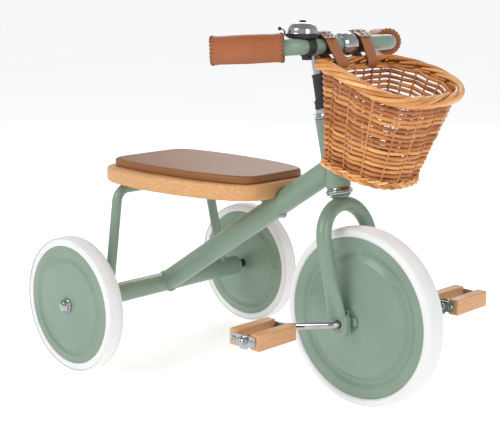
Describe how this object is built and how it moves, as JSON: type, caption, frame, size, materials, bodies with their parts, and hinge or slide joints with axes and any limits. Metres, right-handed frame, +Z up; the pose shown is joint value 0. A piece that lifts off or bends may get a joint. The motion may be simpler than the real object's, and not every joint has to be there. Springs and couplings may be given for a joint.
{
  "type": "children's tricycle",
  "caption": "Child's pedal tricycle: sage green steel frame, wooden seat with leather pad, white tyres on disc wheels, bell, and a wicker basket strapped to the handlebar.",
  "frame": {"origin": "on the ground under the middle of the tricycle's overall box", "axes": "+X forward, +Y to the rider's left, +Z up"},
  "size_m": [0.7512, 0.5024, 0.6252],
  "materials": {
    "green_paint": "satin powder coat, sage green",
    "green_shell": "satin, sage green",
    "white_tyre": "matte white",
    "chrome": "polished",
    "black_plastic": "satin black",
    "beech": "clear lacquer",
    "brown_leather": "satin tan",
    "wicker": "varnished cane"
  },
  "bodies": {
    "frame": {"main_tube": "green_paint", "axle_beam": "green_paint", "axle_rod": "chrome", "seat_hoop": "green_paint", "head_tube": "green_paint", "seat_board": "beech", "seat_pad": "brown_leather", "seat_bolt": "chrome", "spacer_right": "black_plastic", "spacer_left": "black_plastic", "hub_nut_right": "chrome", "hub_nut_left": "chrome", "upper_cup": "chrome", "lower_cup": "chrome"},
    "steering": {"fork": "green_paint", "fork_end_right": "green_paint", "fork_end_left": "green_paint", "lower_race": "chrome", "locknut": "chrome", "stem_boot": "black_plastic", "stem": "chrome", "stem_clamp": "chrome", "handlebar": "green_paint", "grip_right": "brown_leather", "grip_left": "brown_leather", "bar_sleeve_right": "black_plastic", "bar_sleeve_left": "black_plastic", "bell_clamp": "black_plastic", "bell_dome": "chrome", "bell_screw": "black_plastic", "strap_right": "brown_leather", "strap_left": "brown_leather", "buckle_right": "chrome", "buckle_left": "chrome", "basket_body": "wicker", "basket_rim": "wicker", "basket_foot": "wicker"},
    "bell_lever": {"bell_lever": "black_plastic"},
    "front_wheel": {"front_wheel_tyre": "white_tyre", "front_wheel_disc_right": "green_shell", "front_wheel_disc_left": "green_shell", "hub_flange_right": "green_paint", "hub_flange_left": "green_paint", "crank_right": "chrome", "crank_left": "chrome"},
    "pedal_right": {"pedal_right_block_front": "beech", "pedal_right_block_rear": "beech", "pedal_right_plate_inner": "chrome", "pedal_right_plate_outer": "chrome"},
    "rear_wheel_right": {"rear_wheel_right_tyre": "white_tyre", "rear_wheel_right_disc_right": "green_shell", "rear_wheel_right_disc_left": "green_shell"},
    "pedal_left": {"pedal_left_block_front": "beech", "pedal_left_block_rear": "beech", "pedal_left_plate_inner": "chrome", "pedal_left_plate_outer": "chrome"},
    "rear_wheel_left": {"rear_wheel_left_tyre": "white_tyre", "rear_wheel_left_disc_right": "green_shell", "rear_wheel_left_disc_left": "green_shell"}
  },
  "joints": [
    {"name": "steering_turn", "type": "hinge", "parent": "frame", "child": "steering", "pos_m": [0.17025, 0, 0.3571], "axis": [-0.2321, 0, 0.9727], "range_deg": [-45, 45]},
    {"name": "bell_lever_push", "type": "hinge", "parent": "steering", "child": "bell_lever", "pos_m": [0.16925, -0.091, 0.606], "axis": [0, 0, 1], "range_deg": [0, 25], "stiffness_Nm_per_rad": 0.02},
    {"name": "front_wheel_spin", "type": "hinge", "parent": "steering", "child": "front_wheel", "pos_m": [0.22565, 0, 0.15], "axis": [0, 1, 0], "continuous": true},
    {"name": "pedal_right_spin", "type": "hinge", "parent": "front_wheel", "child": "pedal_right", "pos_m": [0.15515, -0.162, 0.1407], "axis": [0, 1, 0], "continuous": true},
    {"name": "pedal_left_spin", "type": "hinge", "parent": "front_wheel", "child": "pedal_left", "pos_m": [0.29615, 0.162, 0.1593], "axis": [0, 1, 0], "continuous": true},
    {"name": "rear_wheel_right_spin", "type": "hinge", "parent": "frame", "child": "rear_wheel_right", "pos_m": [-0.25375, -0.222, 0.1219], "axis": [0, 1, 0], "continuous": true},
    {"name": "rear_wheel_left_spin", "type": "hinge", "parent": "frame", "child": "rear_wheel_left", "pos_m": [-0.25375, 0.222, 0.1219], "axis": [0, 1, 0], "continuous": true}
  ]
}
